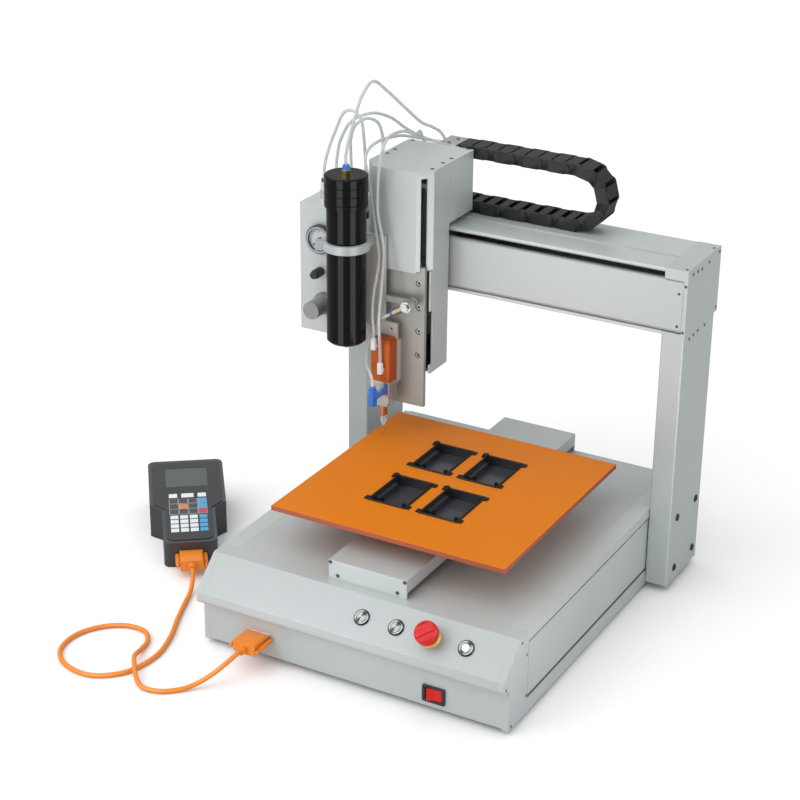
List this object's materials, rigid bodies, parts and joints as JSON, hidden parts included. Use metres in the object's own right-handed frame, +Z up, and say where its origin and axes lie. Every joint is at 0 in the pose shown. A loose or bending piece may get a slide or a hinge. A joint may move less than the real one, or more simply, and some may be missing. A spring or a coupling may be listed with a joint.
{
  "type": "desktop dispensing robot",
  "caption": "Desktop gantry dispensing robot with sliding fixture table, Z head with valve and syringe barrel, air controls, drag chain and wired teach pendant",
  "frame": {"origin": "centre of the base footprint on the floor", "axes": "+X right along the beam, -Y towards the operator, +Z up"},
  "size_m": [0.7308, 0.6557, 0.6409],
  "materials": {
    "zinc_steel": "zinc-plated sheet",
    "rail_alu": "anodised extrusion",
    "panel_alu": "silver-grey satin coating",
    "console_paint": "light silver-grey satin coating",
    "top_grey": "grey satin coating",
    "cover_grey": "grey satin coating",
    "bright_steel": "ground steel",
    "motor_black": "black can",
    "electronics": "boards and housings",
    "button_chrome": "bright nickel",
    "yellow_plastic": "moulded",
    "black_plastic": "moulded",
    "red_plastic": "moulded",
    "grey_plastic": "moulded",
    "column_alu": "silver-grey satin coating",
    "chain_black": "moulded nylon",
    "machined_alu": "machined",
    "bakelite": "orange laminate sheet",
    "tray_black": "moulded",
    "tool_alu": "anodised plate",
    "gloss_black": "polished",
    "valve_orange": "orange anodised",
    "fitting_nickel": "nickel and moulded collars",
    "hose_clear": "clear polyurethane",
    "pendant_grey": "moulded",
    "orange_plastic": "moulded"
  },
  "bodies": {
    "frame": {"chassis": "zinc_steel", "side_rails": "rail_alu", "end_plates": "panel_alu", "console": "console_paint", "base_panels": "top_grey", "y_cover": "cover_grey", "frame_rails": "bright_steel", "drive_motors": "motor_black", "electronics": "electronics", "control_bezels": "button_chrome", "estop_base": "yellow_plastic", "columns": "column_alu", "beam_body": "panel_alu", "beam_front_cover": "panel_alu", "beam_ends": "column_alu", "chain_lower": "chain_black", "pendant_body": "pendant_grey", "pendant_face": "pendant_grey", "pendant_handle": "orange_plastic", "dsub_plugs": "orange_plastic", "cable": "orange_plastic"},
    "head": {"head_body": "panel_alu", "head_cover": "panel_alu", "head_top": "panel_alu", "rear_box": "panel_alu", "x_carriage": "machined_alu", "z_motor": "motor_black", "z_rail": "bright_steel", "chain_upper": "chain_black", "chain_bracket": "machined_alu", "control_box": "panel_alu", "gauge": "black_plastic", "solenoid_valve": "grey_plastic", "head_fittings": "fitting_nickel", "head_hoses": "hose_clear"},
    "tool": {"tool_plate": "tool_alu", "z_slider": "machined_alu", "tool_bracket": "machined_alu", "barrel": "gloss_black", "barrel_cap": "gloss_black", "valve_body": "valve_orange", "valve_block": "bright_steel", "tool_fittings": "fitting_nickel", "needle": "bright_steel", "tool_hoses": "hose_clear"},
    "table": {"y_carriage": "machined_alu", "fixture_plate": "bakelite", "trays": "tray_black"},
    "x_screw_body": {"x_screw": "bright_steel"},
    "y_screw_body": {"y_screw": "bright_steel"},
    "z_screw_body": {"z_screw": "bright_steel"},
    "start_button_body": {"start_button": "button_chrome"},
    "pause_button_body": {"pause_button": "button_chrome"},
    "ring_button_body": {"ring_button": "button_chrome"},
    "estop_stem_body": {"estop_stem": "black_plastic"},
    "estop_head_body": {"estop_head": "red_plastic"},
    "rocker_body": {"rocker": "red_plastic"},
    "gauge_needle_body": {"gauge_needle": "black_plastic"},
    "flow_knob_body": {"flow_knob": "black_plastic"},
    "regulator_knob_body": {"regulator_knob": "grey_plastic"}
  },
  "joints": [
    {"name": "x_axis", "type": "slide", "parent": "frame", "child": "head", "axis": [1, 0, 0], "range_m": [-0.015, 0.285], "deforming": ["chain_lower", "chain_upper"]},
    {"name": "y_axis", "type": "slide", "parent": "frame", "child": "table", "axis": [0, 1, 0], "range_m": [-0.108, 0.192]},
    {"name": "z_axis", "type": "slide", "parent": "head", "child": "tool", "axis": [0, 0, 1], "range_m": [0, 0.09], "deforming": ["tool_hoses"]},
    {"name": "x_screw_turn", "type": "hinge", "parent": "frame", "child": "x_screw_body", "pos_m": [0, 0.172, 0.4047], "axis": [1, 0, 0], "range_deg": [-600, 10400]},
    {"name": "y_screw_turn", "type": "hinge", "parent": "frame", "child": "y_screw_body", "pos_m": [0, 0, 0.104], "axis": [0, 1, 0], "range_deg": [-4000, 7000]},
    {"name": "z_screw_turn", "type": "hinge", "parent": "head", "child": "z_screw_body", "pos_m": [-0.1135, 0.1102, 0.4], "axis": [0, 0, 1], "range_deg": [-10, 3300]},
    {"name": "start_press", "type": "slide", "parent": "frame", "child": "start_button_body", "axis": [0, 0.6745, -0.7383], "range_m": [0, 0.002], "stiffness_N_per_m": 1500},
    {"name": "pause_press", "type": "slide", "parent": "frame", "child": "pause_button_body", "axis": [0, 0.6745, -0.7383], "range_m": [0, 0.002], "stiffness_N_per_m": 1500},
    {"name": "reset_press", "type": "slide", "parent": "frame", "child": "ring_button_body", "axis": [0, 0.6745, -0.7383], "range_m": [0, 0.002], "stiffness_N_per_m": 1500},
    {"name": "estop_push", "type": "slide", "parent": "frame", "child": "estop_stem_body", "axis": [0, 0.6745, -0.7383], "range_m": [0, 0.004]},
    {"name": "estop_twist", "type": "hinge", "parent": "estop_stem_body", "child": "estop_head_body", "pos_m": [0.105, -0.25025, 0.0975], "axis": [0, -0.6745, 0.7383], "range_deg": [0, 40]},
    {"name": "rocker_tilt", "type": "hinge", "parent": "frame", "child": "rocker_body", "pos_m": [0.113, -0.251, 0.026], "axis": [0, 0, 1], "range_deg": [-20, 0]},
    {"name": "gauge_sweep", "type": "hinge", "parent": "head", "child": "gauge_needle_body", "pos_m": [-0.235, 0.0642, 0.427], "axis": [0, -1, 0], "range_deg": [-270, 0]},
    {"name": "flow_turn", "type": "hinge", "parent": "head", "child": "flow_knob_body", "pos_m": [-0.237, 0.0602, 0.381], "axis": [0, -1, 0], "continuous": true},
    {"name": "regulator_turn", "type": "hinge", "parent": "head", "child": "regulator_knob_body", "pos_m": [-0.2306, 0.0522, 0.339], "axis": [0, -1, 0], "continuous": true}
  ],
  "couplings": [
    {"joint": "x_screw_turn", "follows": "x_axis", "rad_per_m": 628.32},
    {"joint": "y_screw_turn", "follows": "y_axis", "rad_per_m": 628.32},
    {"joint": "z_screw_turn", "follows": "z_axis", "rad_per_m": 628.32}
  ]
}
